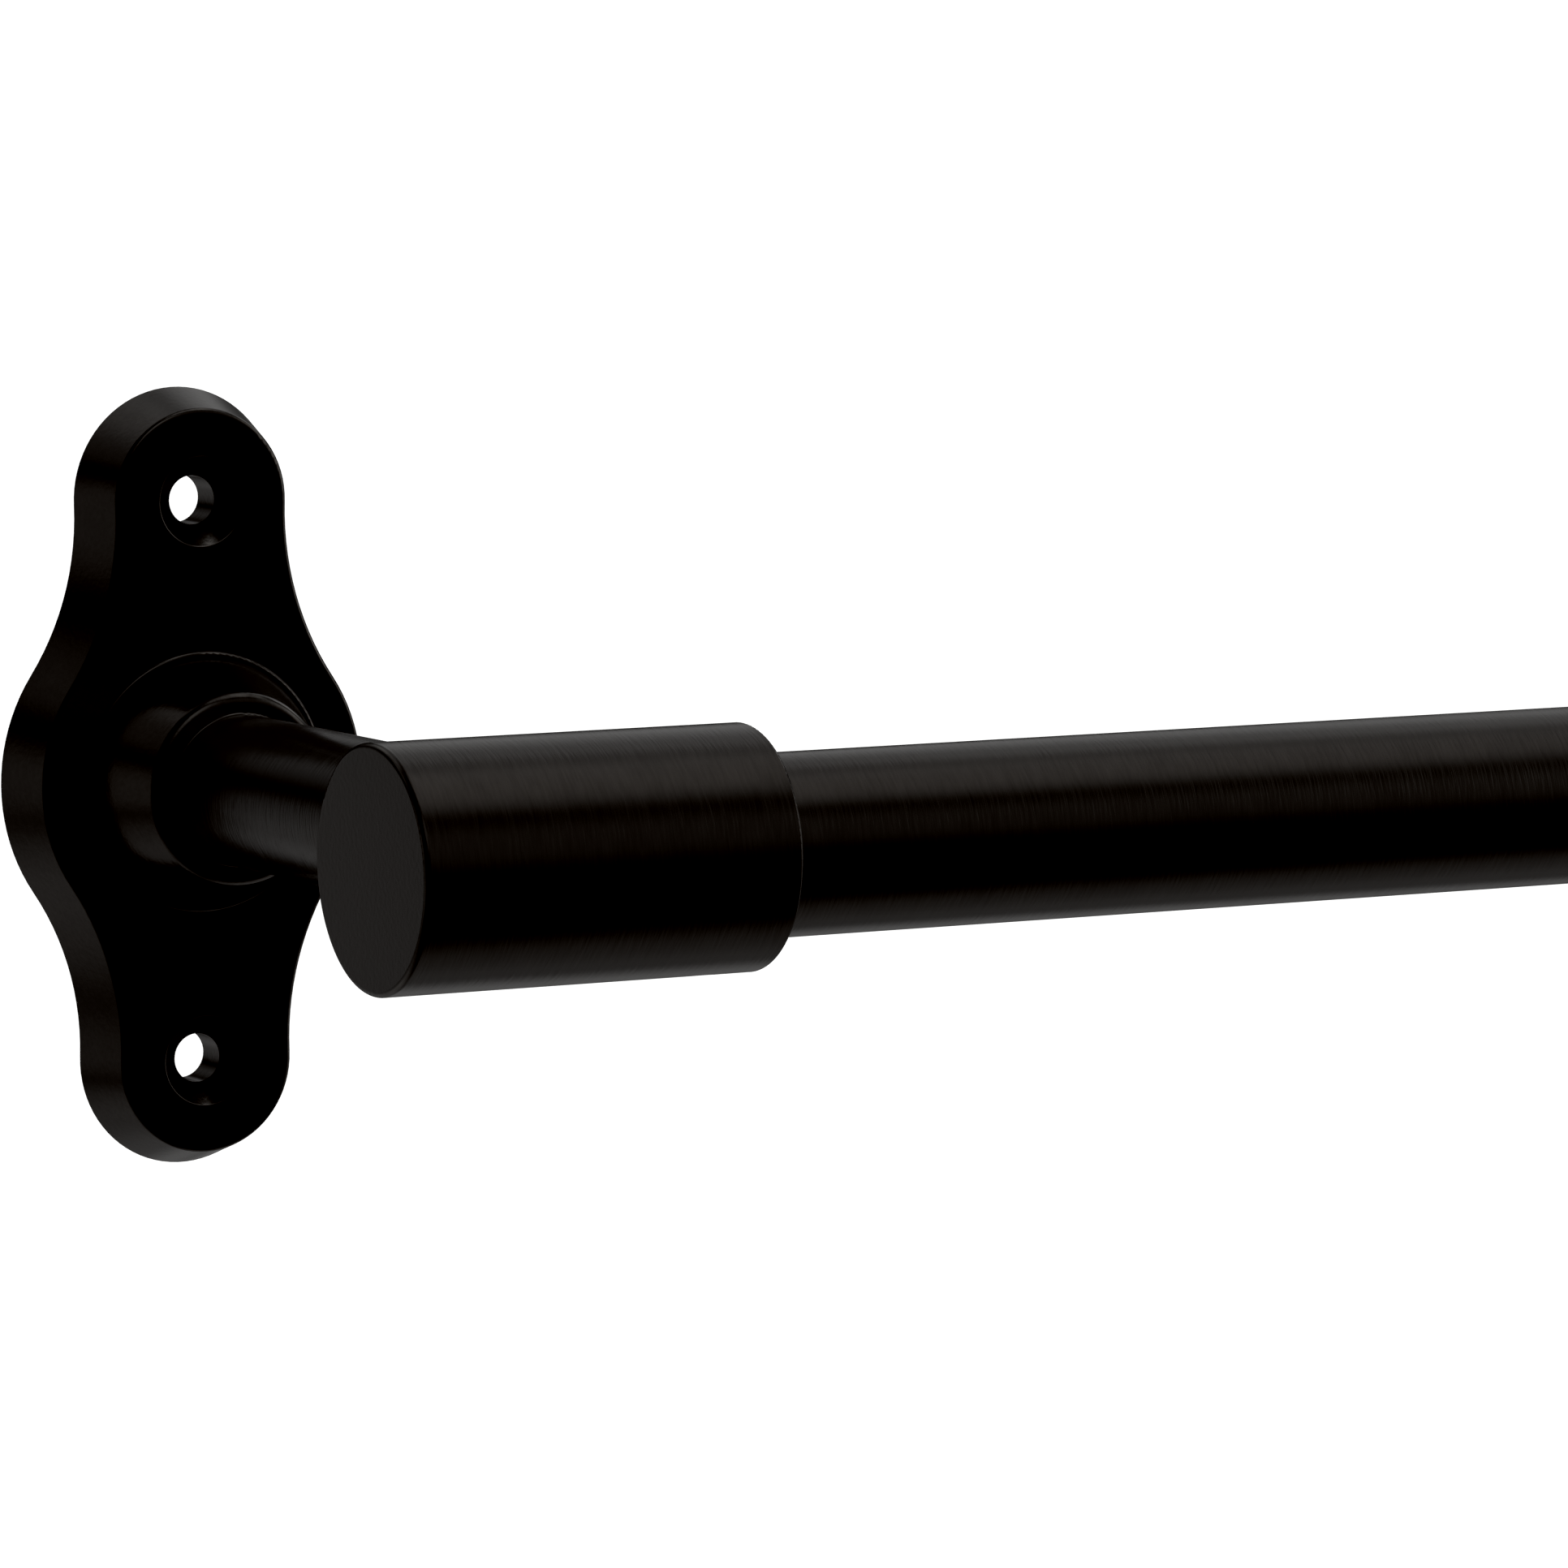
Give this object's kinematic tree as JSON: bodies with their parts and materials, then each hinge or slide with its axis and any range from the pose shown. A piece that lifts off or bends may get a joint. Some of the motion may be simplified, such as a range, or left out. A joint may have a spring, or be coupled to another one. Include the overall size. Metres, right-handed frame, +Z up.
{
  "type": "door security bar",
  "caption": "Round guard bar held off a door by a screw-fixed bracket at each end, clamped in closed-ended sockets.",
  "frame": {"origin": "middle of the left bracket's screw pattern, on the face that lies on the door", "axes": "+X along the bar to the right bracket, +Y into the door, +Z up; the bar stands out along -Y"},
  "size_m": [0.645, 0.0877, 0.0716],
  "materials": {
    "plate_bronze": "satin dark bronze, smooth",
    "turned_bronze": "satin dark bronze, fine lathe brushing round the axis",
    "screw_steel": "black oxide"
  },
  "bodies": {
    "left_bracket": {"left_wall_plate": "plate_bronze", "left_collar": "plate_bronze", "left_post": "turned_bronze", "left_post_screw": "screw_steel", "left_socket": "turned_bronze", "left_socket_stud": "screw_steel"},
    "bar": {"bar_tube": "turned_bronze"},
    "right_bracket": {"right_wall_plate": "plate_bronze", "right_collar": "plate_bronze", "right_post": "turned_bronze", "right_post_screw": "screw_steel", "right_socket": "turned_bronze", "right_socket_stud": "screw_steel"},
    "left_set_screw": {"left_set_screw": "screw_steel"},
    "right_set_screw": {"right_set_screw": "screw_steel"}
  },
  "joints": [
    {"name": "bar_turn", "type": "hinge", "parent": "left_bracket", "child": "bar", "pos_m": [0.0076, -0.0771, 0], "axis": [1, 0, 0], "continuous": true},
    {"name": "right_bracket_slide", "type": "slide", "parent": "left_bracket", "child": "right_bracket", "axis": [1, 0, 0], "range_m": [-0.0028, 0.012]},
    {"name": "left_set_screw_travel", "type": "slide", "parent": "left_bracket", "child": "left_set_screw", "axis": [0, 0, -1], "range_m": [0, 0.0025]},
    {"name": "right_set_screw_travel", "type": "slide", "parent": "right_bracket", "child": "right_set_screw", "axis": [0, 0, -1], "range_m": [0, 0.0025]}
  ]
}
